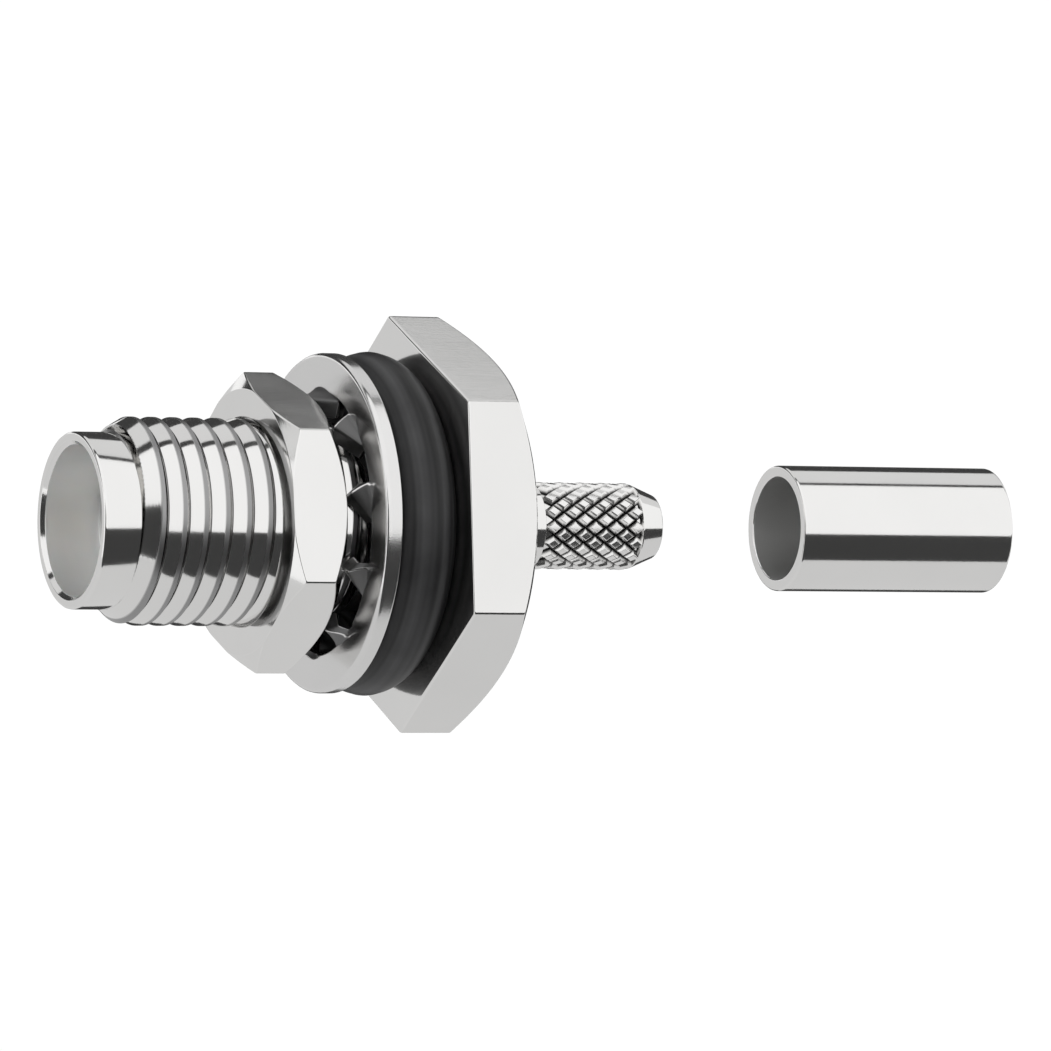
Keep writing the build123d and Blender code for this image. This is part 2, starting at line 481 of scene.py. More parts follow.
class MaterialSheet(NodeSheet):
    """The nodes of one material, with its Principled shader ready."""

    def __init__(self, name: str) -> None:
        """Starts a material with an empty tree, its shader and its output."""
        self.material = bpy.data.materials.new(name)
        self.material.use_nodes = True
        self.material.node_tree.nodes.clear()
        super().__init__(self.material.node_tree)
        self.shader = self.add("ShaderNodeBsdfPrincipled")
        self.add("ShaderNodeOutputMaterial", {"Surface": self.shader.outputs[0]})

    def effect(self, tree: bpy.types.NodeTree, **inputs: float) -> bpy.types.bpy_prop_collection:
        """Places a shared effect with its own values and gives its outputs."""
        node = self.add("ShaderNodeGroup", node_tree=tree)
        for label, value in inputs.items():
            node.inputs[label].default_value = value
        return node.outputs

    def blend(self, share: bpy.types.NodeSocket, low: object, high: object) -> bpy.types.NodeSocket:
        """Colour that goes from low to high with the share."""
        node = self.add("ShaderNodeMix", {0: share}, data_type="RGBA")
        for end, value in ((6, low), (7, high)):
            if isinstance(value, bpy.types.NodeSocket):
                self.tree.links.new(value, node.inputs[end])
            else:
                node.inputs[end].default_value = (*value, 1.0)
        return node.outputs[2]

    def bump(
        self, height: bpy.types.NodeSocket, depth: float, normal: object = None
    ) -> bpy.types.NodeSocket:
        """Normal from a height, this many metres deep."""
        inputs = {"Height": height, "Distance": depth, "Strength": 1.0}
        if normal is not None:
            inputs["Normal"] = normal
        return self.add("ShaderNodeBump", inputs).outputs[0]


@dataclass(frozen=True)
class PlatedMetal:
    """Plated metal with the fine marks of how it was made, and painted shade in its grooves.

    Attributes:
        name: Name of the material.
        colour: Its colour where it is clean.
        painted_shade_colour: Colour of the painted shade in grooves.
        roughness: Its roughness where it is clean.
        marks: How the surface was made.
        mark_depth: Depth of the marks in millimetres.
        mark_spacing: Distance between the marks in millimetres.
        grain_depth: Depth of the fine grain in millimetres.
        painted_shade_start: Depth in a groove, from 0 to 1, where the painted shade starts.
    """

    name: str
    colour: Colour
    painted_shade_colour: Colour
    roughness: float
    marks: Marks
    mark_depth: float
    mark_spacing: float
    grain_depth: float = 0.0004
    painted_shade_start: float = 0.55

    def material(self) -> bpy.types.Material:
        """Builds the material."""
        sheet = MaterialSheet(self.name)
        marks = sheet.effect(SurfaceEffects.marks(self.marks), Spacing=self.mark_spacing * MM)
        smudge = sheet.effect(SurfaceEffects.smudges(), Size=0.0021, Contrast=1.6)["Mask"]
        specks = sheet.effect(SurfaceEffects.specks(), Size=0.00005)["Height"]
        edge = sheet.effect(SurfaceEffects.edges(), Size=0.0005)["Mask"]
        painted_shade = sheet.effect(SurfaceEffects.painted_shades(), Start=self.painted_shade_start, End=1.0)["Mask"]
        handled = tuple(0.94 * c for c in self.colour)
        tint = sheet.blend(sheet.math("MULTIPLY", smudge, 0.5), self.colour, handled)
        # Rounded edges are lighter: partly edge wear, partly a painted highlight.
        bright = tuple(min(1.0, 1.05 * c) for c in self.colour)
        tint = sheet.blend(sheet.math("MULTIPLY", edge, 0.6), tint, bright)
        # Painted shade: grooves are darkened towards the shade colour here and made rougher below.
        tint = sheet.blend(painted_shade, tint, self.painted_shade_colour)
        rough = sheet.math("MULTIPLY_ADD", smudge, 0.04, self.roughness - 0.02)
        rough = sheet.math("MULTIPLY_ADD", marks["Patch"], 0.03, rough)
        rough = sheet.math("MULTIPLY_ADD", painted_shade, 0.25, rough)
        rough = sheet.math("MULTIPLY_ADD", edge, -0.05, rough, clamp=True)
        grained = sheet.bump(specks, self.grain_depth * MM)
        normal = sheet.bump(marks["Height"], self.mark_depth * MM, grained)
        sheet.tree.links.new(tint, sheet.shader.inputs["Base Color"])
        sheet.tree.links.new(rough, sheet.shader.inputs["Roughness"])
        sheet.tree.links.new(normal, sheet.shader.inputs["Normal"])
        sheet.shader.inputs["Metallic"].default_value = 1.0
        return sheet.material


@dataclass(frozen=True)
class MouldedRubber:
    """Black moulded rubber with a faint bloom and fine lines round the ring.

    Attributes:
        name: Name of the material.
        colour: Its colour where it is clean.
        bloom: Its colour where the bloom lies.
        roughness: Its least roughness.
    """

    name: str
    colour: Colour
    bloom: Colour
    roughness: float

    def material(self) -> bpy.types.Material:
        """Builds the material."""
        sheet = MaterialSheet(self.name)
        marks = sheet.effect(SurfaceEffects.marks(Marks.TURNED), Spacing=0.000055)
        smudge = sheet.effect(SurfaceEffects.smudges(), Size=0.0016, Contrast=1.6)["Mask"]
        specks = sheet.effect(SurfaceEffects.specks(), Size=0.00006)["Height"]
        lines = sheet.ramp(marks["Patch"], 0.38, 0.64, 0.02, 0.75)
        streak = sheet.math("MULTIPLY", lines, sheet.ramp(smudge, 0.1, 0.9, 0.45, 1.0))
        tint = sheet.blend(streak, self.colour, self.bloom)
        rough = sheet.math("MULTIPLY_ADD", smudge, 0.15, self.roughness)
        normal = sheet.bump(specks, 0.0015 * MM, sheet.bump(marks["Height"], 0.002 * MM))
        sheet.tree.links.new(tint, sheet.shader.inputs["Base Color"])
        sheet.tree.links.new(rough, sheet.shader.inputs["Roughness"])
        sheet.tree.links.new(normal, sheet.shader.inputs["Normal"])
        sheet.shader.inputs["Specular IOR Level"].default_value = 0.32
        return sheet.material


@dataclass(frozen=True)
class Fluoropolymer:
    """White, slightly waxy turned plastic.

    Attributes:
        name: Name of the material.
        colour: Its lighter colour.
        shade: Its darker colour.
        roughness: Its least roughness.
    """

    name: str
    colour: Colour
    shade: Colour
    roughness: float

    def material(self) -> bpy.types.Material:
        """Builds the material."""
        sheet = MaterialSheet(self.name)
        marks = sheet.effect(SurfaceEffects.marks(Marks.TURNED), Spacing=0.00009)
        smudge = sheet.effect(SurfaceEffects.smudges(), Size=0.0012, Contrast=1.8)["Mask"]
        tint = sheet.blend(smudge, self.colour, self.shade)
        rough = sheet.math("MULTIPLY_ADD", marks["Patch"], 0.12, self.roughness)
        normal = sheet.bump(marks["Height"], 0.0025 * MM)
        sheet.tree.links.new(tint, sheet.shader.inputs["Base Color"])
        sheet.tree.links.new(rough, sheet.shader.inputs["Roughness"])
        sheet.tree.links.new(normal, sheet.shader.inputs["Normal"])
        sheet.shader.inputs["Subsurface Weight"].default_value = 0.15
        sheet.shader.inputs["Subsurface Scale"].default_value = 0.0004
        return sheet.material


BODY_PLATING = PlatedMetal(
    name="body_plating",
    colour=(0.87, 0.865, 0.855),
    painted_shade_colour=(0.36, 0.36, 0.36),
    roughness=0.08,
    marks=Marks.TURNED,
    mark_depth=0.0006,
    mark_spacing=0.055,
    painted_shade_start=0.86,
)
BORE_PLATING = PlatedMetal(
    name="bore_plating",
    colour=(0.89, 0.89, 0.885),
    painted_shade_colour=(0.10, 0.10, 0.10),
    roughness=0.42,
    marks=Marks.TURNED,
    mark_depth=0.0015,
    mark_spacing=0.06,
    grain_depth=0.0008,
)
TUBE_BORE = PlatedMetal(
    name="tube_bore",
    colour=(0.68, 0.68, 0.675),
    painted_shade_colour=(0.10, 0.10, 0.10),
    roughness=0.46,
    marks=Marks.TURNED,
    mark_depth=0.0015,
    mark_spacing=0.06,
    grain_depth=0.0008,
)
FLANGE_PLATING = PlatedMetal(
    name="flange_plating",
    colour=(0.835, 0.83, 0.82),
    painted_shade_colour=(0.10, 0.10, 0.10),
    roughness=0.10,
    marks=Marks.DRAWN,
    mark_depth=0.0011,
    mark_spacing=0.05,
    grain_depth=0.001,
)
# The knurl's painted shade starts early and is nearly black, darkening the grooves between the diamonds.
KNURL_PLATING = PlatedMetal(
    name="knurl_plating",
    colour=(0.90, 0.895, 0.885),
    painted_shade_colour=(0.02, 0.02, 0.02),
    roughness=0.2,
    marks=Marks.STAMPED,
    mark_depth=0.001,
    mark_spacing=0.06,
    painted_shade_start=0.34,
)
NUT_PLATING = PlatedMetal(
    name="nut_plating",
    colour=(0.86, 0.855, 0.845),
    painted_shade_colour=(0.10, 0.10, 0.10),
    roughness=0.11,
    marks=Marks.DRAWN,
    mark_depth=0.0008,
    mark_spacing=0.05,
)
WASHER_PLATING = PlatedMetal(
    name="washer_plating",
    colour=(0.80, 0.795, 0.79),
    painted_shade_colour=(0.12, 0.12, 0.12),
    roughness=0.16,
    marks=Marks.STAMPED,
    mark_depth=0.0012,
    mark_spacing=0.06,
)
# The teeth's painted shade starts almost at once, so their flats read dark.
TOOTH_PLATING = PlatedMetal(
    name="tooth_plating",
    colour=(0.78, 0.775, 0.77),
    painted_shade_colour=(0.16, 0.16, 0.16),
    roughness=0.16,
    marks=Marks.STAMPED,
    mark_depth=0.002,
    mark_spacing=0.06,
    painted_shade_start=0.1,
)
FERRULE_PLATING = PlatedMetal(
    name="ferrule_plating",
    colour=(0.87, 0.865, 0.855),
    painted_shade_colour=(0.12, 0.12, 0.12),
    roughness=0.08,
    marks=Marks.TURNED,
    mark_depth=0.0005,
    mark_spacing=0.06,
)
GOLD_PLATING = PlatedMetal(
    name="gold_plating",
    colour=(0.90, 0.66, 0.27),
    painted_shade_colour=(0.30, 0.20, 0.07),
    roughness=0.17,
    marks=Marks.TURNED,
    mark_depth=0.0006,
    mark_spacing=0.04,
)
SEAL_RUBBER = MouldedRubber("seal_rubber", (0.008, 0.008, 0.0085), (0.10, 0.10, 0.103), 0.34)
BUSH_PLASTIC = Fluoropolymer("bush_plastic", (0.84, 0.84, 0.82), (0.78, 0.78, 0.76), 0.4)


def place(
    name: str, mesh: bpy.types.Mesh, finish: bpy.types.Material, body: str, slot: str, *nodes: str
) -> bpy.types.Object:
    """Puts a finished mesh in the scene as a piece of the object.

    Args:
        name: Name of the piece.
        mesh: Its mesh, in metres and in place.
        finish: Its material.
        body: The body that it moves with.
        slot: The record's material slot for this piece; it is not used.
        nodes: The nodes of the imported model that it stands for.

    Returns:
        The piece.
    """
    piece = bpy.data.objects.new(name, mesh)
    bpy.context.scene.collection.objects.link(piece)
    mesh.materials.clear()
    mesh.materials.append(finish)
    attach(piece, body)
    if nodes:
        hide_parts(*nodes)
    log.info("%s: %d faces on %s", name, len(mesh.polygons), body)
    return piece


# Thread


@dataclass(frozen=True)
class HelicalThread:
    """A right-handed thread as one helical ridge, on a bar or inside a nut.

    Attributes:
        crest_radius: Radius of the ridge's top.
        root_radius: Radius between the ridges.
        hidden_radius: Radius to which the ridge reaches into the metal that carries it.
        front: Station where the thread starts.
        back: Station where it ends.
        lead: Length over which each end of the ridge is turned down.
        end_radius: Radius to which the ends are turned.
        ridge_station: A station where the middle of the ridge crosses the angle 0.
        per_turn: How many segments each turn has.
    """

    crest_radius: float
    root_radius: float
    hidden_radius: float
    front: float
    back: float
    lead: float
    end_radius: float
    ridge_station: float
    per_turn: int = 120

    def outline(self) -> list[tuple[float, float, float]]:
        """Closed section of the ridge: axial distance, radius and depth in the groove from 0 to 1, which
        sets the painted shade in the thread's roots.
        """
        outward = 1 if self.crest_radius > self.root_radius else -1
        depth = abs(self.crest_radius - self.root_radius)
        half_pitch = THREAD_PITCH / 2
        half_crest = THREAD_PITCH / 16
        half_foot = half_crest + depth * math.tan(FLANK_ANGLE)
        corners = [
            Corner(-half_pitch, 0.0, 0.0),
            Corner(-half_foot, 0.0, 0.05),
            Corner(-half_crest, depth, 0.03),
            Corner(half_crest, depth, 0.03),
            Corner(half_foot, 0.0, 0.05),
            Corner(half_pitch, 0.0, 0.0),
            Corner(half_pitch, -abs(self.hidden_radius - self.root_radius), 0.0),
            Corner(-half_pitch, -abs(self.hidden_radius - self.root_radius), 0.0),
        ]
        points = []
        for axial, height, _ in rounded_section(corners, 4):
            sunk = 1 - min(1, max(0, height / depth))
            points.append((axial, self.root_radius + outward * height, sunk))
        return points

    def mesh(self, name: str, finish: bpy.types.Material) -> bpy.types.Mesh:
        """Sweeps the ridge along its helix with Geometry Nodes.

        Args:
            name: Name of the mesh.
            finish: Its material.

        Returns:
            The mesh in metres.
        """
        outline = self.outline()
        base = bpy.data.meshes.new(name + "_section")
        middle = (self.crest_radius + self.root_radius) / 2
        base.from_pydata(
            [Vector((axial, radius - middle, 0)) * MM for axial, radius, _ in outline],
            [(index, (index + 1) % len(outline)) for index in range(len(outline))],
            [],
        )
        # Painted shade: the depth in the groove darkens the thread's roots.
        painted_shade = base.attributes.new("painted_shade", "FLOAT", "POINT")
        painted_shade.data.foreach_set("value", [point[2] for point in outline])
        spare = math.ceil((self.ridge_station - self.front) / THREAD_PITCH) + 1
        start = self.ridge_station - spare * THREAD_PITCH
        turns = math.ceil((self.back - start) / THREAD_PITCH) + 1
        outside = self.crest_radius > self.root_radius
        tree = ShapeTree(
            name + "_sweep",
            {
                "Turns": float(turns),
                "Steps per turn": self.per_turn,
                "Radius": middle * MM,
                "Height": turns * THREAD_PITCH * MM,
                "Start": start * MM,
                "Front": self.front * MM,
                "Front full": (self.front + self.lead) * MM,
                "Back full": (self.back - self.lead) * MM,
                "Back": self.back * MM,
                "End radius": self.end_radius * MM,
                "Full radius": (self.crest_radius + (0.02 if outside else -0.02)) * MM,
            },
        )
        given = tree.given
        course = tree.add(
            "GeometryNodeCurveSpiral",
            {
                "Resolution": given["Steps per turn"],
                "Rotations": given["Turns"],
                "Start Radius": given["Radius"],
                "End Radius": given["Radius"],
                "Height": given["Height"],
            },
        )
        upright = tree.add("GeometryNodeSetCurveNormal", {"Curve": course.outputs[0]})
        upright.mode = "Z_UP"
        section = tree.add("GeometryNodeMeshToCurve", {"Mesh": given["Geometry"]})
        swept = tree.add(
            "GeometryNodeCurveToMesh",
            {"Curve": upright.outputs[0], "Profile Curve": section.outputs[0], "Fill Caps": True},
        )
        laid = tree.add(
            "GeometryNodeTransform",
            {
                "Geometry": swept.outputs[0],
                "Translation": tree.vector(given["Start"], 0.0, 0.0),
                "Rotation": (math.pi / 2, 0.0, math.pi / 2),
            },
        )
        position = tree.add("GeometryNodeInputPosition").outputs[0]
        axes = tree.add("ShaderNodeSeparateXYZ", {0: position}).outputs
        squares = [tree.math("MULTIPLY", axis, axis) for axis in (axes[1], axes[2])]
        radius = tree.math("SQRT", tree.math("ADD", *squares))
        limits = []
        for edge, full in (("Front", "Front full"), ("Back", "Back full")):
            spans = {
                "Value": axes[0],
                "From Min": given[edge],
                "From Max": given[full],
                "To Min": given["End radius"],
                "To Max": given["Full radius"],
            }
            limits.append(tree.add("ShaderNodeMapRange", spans).outputs["Result"])
        nearer = "MINIMUM" if outside else "MAXIMUM"
        limit = tree.math(nearer, *limits)
        share = tree.math("DIVIDE", tree.math(nearer, radius, limit), radius)
        station = axes[0]
        if not outside:
            inset = tree.math("ADD", given["Front"], 0.02 * MM)
            offset = tree.math("SUBTRACT", given["Back"], 0.02 * MM)
            station = tree.math("MINIMUM", tree.math("MAXIMUM", station, inset), offset)
        moved = tree.vector(
            station, tree.math("MULTIPLY", axes[1], share), tree.math("MULTIPLY", axes[2], share)
        )
        cut = tree.add("GeometryNodeSetPosition", {"Geometry": laid.outputs[0], "Position": moved})
        tree.close(cut.outputs[0])
        return tree.grow(name, base, finish)


@dataclass(frozen=True)
class DiamondKnurl:
    """Raised diamonds in staggered rows round a stem.

    Attributes:
        radius: Radius over the diamonds.
        depth: Depth of the grooves between them.
        front: Station of the first row's middle.
        back: Station that the last row stays ahead of.
        around: How many diamonds each row has.
        row_pitch: Distance between one row and the next.
        shoulder_share: Width of a diamond at its shoulder, as a share of its foot.
        top_share: Width of a diamond's top, as a share of its foot.
        crown: Height of a diamond's middle over its top edge.
    """

    radius: float = 1.35
    depth: float = 0.17
    front: float = 4.92
    back: float = 7.92
    around: int = 16
    row_pitch: float = 0.36
    shoulder_share: float = 0.56
    top_share: float = 0.46
    crown: float = 0.012

    def diamond(self) -> bpy.types.Mesh:
        """One diamond about the origin: X along the stem, Z outwards, its top at height 0."""
        width = math.pi * self.radius / self.around
        foot = math.pi * (self.radius - self.depth) / self.around
        # The last number of each level is the painted shade: full in the grooves, none on the tops.
        levels = (
            (-1.25 * self.depth, 1.06 * self.row_pitch, 1.06 * foot, 1.0),
            (-self.depth, self.row_pitch, foot, 1.0),
            (-0.10 * self.depth, self.shoulder_share * self.row_pitch, self.shoulder_share * width, 0.1),
            (0.0, self.top_share * self.row_pitch, self.top_share * width, 0.0),
        )
        vertices = []
        painted_shade = []
        for height, along, across, depth in levels:
            corners = ((along, 0), (0, across), (-along, 0), (0, -across))
            vertices += [(x, y, height) for x, y in corners]
            painted_shade += [depth] * 4
        vertices.append((0, 0, self.crown))
        painted_shade.append(0.0)
        faces = [(3, 2, 1, 0)]
        for level in range(len(levels) - 1):
            for side in range(4):
                a, b = level * 4 + side, level * 4 + (side + 1) % 4
                faces.append((a, b, b + 4, a + 4))
        top = (len(levels) - 1) * 4
        faces += [(top + side, top + (side + 1) % 4, len(vertices) - 1) for side in range(4)]
        return mesh_of("knurl_diamond", vertices, faces, {"painted_shade": painted_shade})

    def mesh(self, name: str, finish: bpy.types.Material) -> bpy.types.Mesh:
        """Repeats the diamond over the stem with Geometry Nodes.

        Args:
            name: Name of the mesh.
            finish: Its material.

        Returns:
            The mesh in metres.
        """
        rows = int((self.back - self.front) / self.row_pitch) + 1
        tree = ShapeTree(
            name + "_rows",
            {
                "Around": self.around,
                "Rows": rows,
                "Radius": self.radius * MM,
                "Front": self.front * MM,
                "Row pitch": self.row_pitch * MM,
            },
        )
        given = tree.given
        total = tree.math("MULTIPLY", given["Around"], given["Rows"])
        points = tree.add("GeometryNodePoints", {"Count": total})
        index = tree.add("GeometryNodeInputIndex").outputs[0]
        row = tree.math("FLOOR", tree.math("DIVIDE", tree.math("ADD", index, 0.5), given["Around"]))
        column = tree.math("SUBTRACT", index, tree.math("MULTIPLY", row, given["Around"]))
        stagger = tree.math("MULTIPLY", tree.math("MODULO", row, 2.0), 0.5)
        turn = tree.math("DIVIDE", tree.math("ADD", column, stagger), given["Around"])
        angle = tree.math("MULTIPLY", turn, TURN)
        station = tree.math("MULTIPLY_ADD", row, given["Row pitch"], given["Front"])
        spot = tree.vector(
            station,
            tree.math("MULTIPLY", tree.math("COSINE", angle), given["Radius"]),
            tree.math("MULTIPLY", tree.math("SINE", angle), given["Radius"]),
        )
        laid = tree.add("GeometryNodeSetPosition", {"Geometry": points.outputs[0], "Position": spot})
        tilt = tree.vector(tree.math("SUBTRACT", angle, math.pi / 2), 0.0, 0.0)
        rotation = tree.add("FunctionNodeEulerToRotation", {0: tilt})
        copies = tree.add(
            "GeometryNodeInstanceOnPoints",
            {
                "Points": laid.outputs[0],
                "Instance": given["Geometry"],
                "Rotation": rotation.outputs[0],
            },
        )
        tree.close(copies.outputs[0])
        return tree.grow(name, self.diamond(), finish)


def ring_of_copies(
    name: str, base: bpy.types.Mesh, count: int, clock: float, finish: bpy.types.Material
) -> bpy.types.Mesh:
    """Repeats a mesh round the axis with Geometry Nodes.

    Args:
        name: Name of the mesh.
        base: What is repeated, standing at the angle 0.
        count: How many copies there are.
        clock: Angle of the first copy in degrees.
        finish: The material of the copies.

    Returns:
        The mesh in metres.
    """
    tree = ShapeTree(name + "_ring", {"Count": count, "Clock": math.radians(clock)})
    given = tree.given
    points = tree.add("GeometryNodePoints", {"Count": given["Count"]})
    share = tree.math("DIVIDE", tree.add("GeometryNodeInputIndex").outputs[0], given["Count"])
    angle = tree.math("MULTIPLY_ADD", share, TURN, given["Clock"])
    rotation = tree.add("FunctionNodeEulerToRotation", {0: tree.vector(angle, 0.0, 0.0)})
    copies = tree.add(
        "GeometryNodeInstanceOnPoints",
        {"Points": points.outputs[0], "Instance": given["Geometry"], "Rotation": rotation.outputs[0]},
    )
    tree.close(copies.outputs[0])
    return tree.grow(name, base, finish)


# Pieces of the jack


@dataclass(frozen=True)
class JackBody:
    """The turned body: pilot ring, thread, hexagonal flange, neck, knurled stem and bore.

    Attributes:
        nose_front: Station of the face at the mating end.
        thread_front: Station where the thread starts.
        thread_back: Station where the thread ends and its relief starts.
        pilot_radius: Radius of the plain ring ahead of the thread, and of the relief behind it.
        thread_radius: Radius over the thread's crests.
        thread_root: Radius at the bottom of the thread.
        thread_lead: Length over which each end of the thread is turned down.
        ridge_station: Station where the thread's ridge crosses the angle 0.
        flange_across_flats: Size of the flange across its flats.
        flange_thickness: Thickness of the flange.
        flange_chamfer: Depth of the flange's rear chamfer at its corners.
        flange_rounding: Rounding of the flange's six corners.
        stem_radius: Radius of the neck and of the stem.
        stem_end: Station of the face at the cable end.
        stem_taper: Length of the stem's taper.
        stem_lip: Width of the face at the stem's end.
        mating_radius: Radius of the mouth's bore.
        mouth_radius: Radius of the mouth at its front edge.
        mating_floor: Station of the mouth's floor.
        seat_radius: Radius of the bore that holds the bush.
        seat_end: Station of the shoulder that the bush stands on.
        chamber_radius: Radius of the chamber behind the bush.
        chamber_end: Station where the chamber ends.
        cable_radius: Radius of the cable's bore.
        knurl: The knurl on the stem.
    """

    nose_front: float = -10.84
    thread_front: float = -9.70
    thread_back: float = -2.00
    pilot_radius: float = 2.71
    thread_radius: float = 3.175
    thread_root: float = 2.755
    thread_lead: float = 0.55
    ridge_station: float = FIRST_GROOVE + 0.25 * THREAD_PITCH
    flange_across_flats: float = 11.26
    flange_thickness: float = 2.35
    flange_chamfer: float = 0.65
    flange_rounding: float = 0.14
    stem_radius: float = 1.35
    stem_end: float = 8.83
    stem_taper: float = 0.85
    stem_lip: float = 0.175
    mating_radius: float = 2.32
    mouth_radius: float = 2.45
    mating_floor: float = -8.91
    seat_radius: float = 2.07
    seat_end: float = 0.55
    chamber_radius: float = 1.05
    chamber_end: float = 2.95
    cable_radius: float = 0.825
    knurl: DiamondKnurl = DiamondKnurl()

    def section(self, angle: float) -> list[SectionPoint]:
        """Half section of the body at an angle about the axis."""
        slope = math.tan(CHAMFER_ANGLE)
        face_radius = self.flange_across_flats / math.sqrt(3) - self.flange_chamfer / slope
        hexagon = hexagon_radius(angle, self.flange_across_flats, self.flange_rounding, 0)
        chamfer = (hexagon - face_radius) * slope
        core = self.thread_root - 0.06
        knurl_front = self.knurl.front - 0.9 * self.knurl.row_pitch
        knurl_back = self.stem_end - self.stem_taper
        knurl_core = self.knurl.radius - self.knurl.depth - 0.01
        corners = [
            Corner(self.nose_front, self.mouth_radius, 0.03),
            Corner(self.nose_front, self.pilot_radius, 0.09),
            Corner(self.thread_front + 0.08, self.pilot_radius),
            Corner(self.thread_front + 0.14, core),
            Corner(self.thread_back, core),
            Corner(self.thread_back + 0.05, self.pilot_radius),
            Corner(0.0, self.pilot_radius, 0.05),
            Corner(0.0, hexagon, 0.08),
            Corner(self.flange_thickness - chamfer, hexagon, 0.07),
            Corner(self.flange_thickness, face_radius, 0.05),
            Corner(self.flange_thickness, self.stem_radius, 0.09),
            Corner(knurl_front, self.stem_radius, 0.02),
            Corner(knurl_front + 0.1, knurl_core),
            Corner(knurl_back - 0.05, knurl_core),
            Corner(knurl_back + 0.03, self.stem_radius - 0.02, 0.03),
            Corner(self.stem_end, self.cable_radius + self.stem_lip, 0.06),
            Corner(self.stem_end, self.cable_radius, 0.04),
            Corner(self.chamber_end, self.cable_radius),
            Corner(self.chamber_end, self.chamber_radius),
            Corner(self.seat_end, self.chamber_radius),
            Corner(self.seat_end, self.seat_radius),
            Corner(self.mating_floor, self.seat_radius, 0.02),
            Corner(self.mating_floor, self.mating_radius, 0.03),
            Corner(self.nose_front + 0.13, self.mating_radius, 0.03),
        ]
        return rounded_section(corners)

    def build(self) -> None:
        """Builds and dresses the body's pieces."""
        plating = BODY_PLATING.material()
        angles = hexagon_angles(0)
        core = shell("jack_body", angles, [self.section(angle) for angle in angles])
        piece = place("jack_body", core, plating, "connector", "plated_body", "body")
        piece.data.materials.append(FLANGE_PLATING.material())
        piece.data.materials.append(BORE_PLATING.material())
        on_flats, in_bore = 1, 2
        inside_flange = self.flange_across_flats / 2 - 0.33
        for face in piece.data.polygons:
            middle = face.center / MM
            radius = math.hypot(middle.y, middle.z)
            behind_lip = self.nose_front + 0.12 < middle.x < self.chamber_end
            in_mouth = behind_lip and radius < self.mating_radius + 0.01
            if in_mouth or radius < self.cable_radius + 0.01:
                face.material_index = in_bore
            elif abs(face.normal.x) < 0.3 and radius > inside_flange:
                face.material_index = on_flats
        thread = HelicalThread(
            crest_radius=self.thread_radius,
            root_radius=self.thread_root,
            hidden_radius=self.thread_root - 0.12,
            front=self.thread_front,
            back=self.thread_back,
            lead=self.thread_lead,
            end_radius=self.pilot_radius - 0.04,
            ridge_station=self.ridge_station,
        )
        mesh = thread.mesh("jack_thread", plating)
        place("jack_thread", mesh, plating, "connector", "plated_body", "body")
        knurl_metal = KNURL_PLATING.material()
        mesh = self.knurl.mesh("jack_knurl", knurl_metal)
        place("jack_knurl", mesh, knurl_metal, "connector", "plated_body", "body")


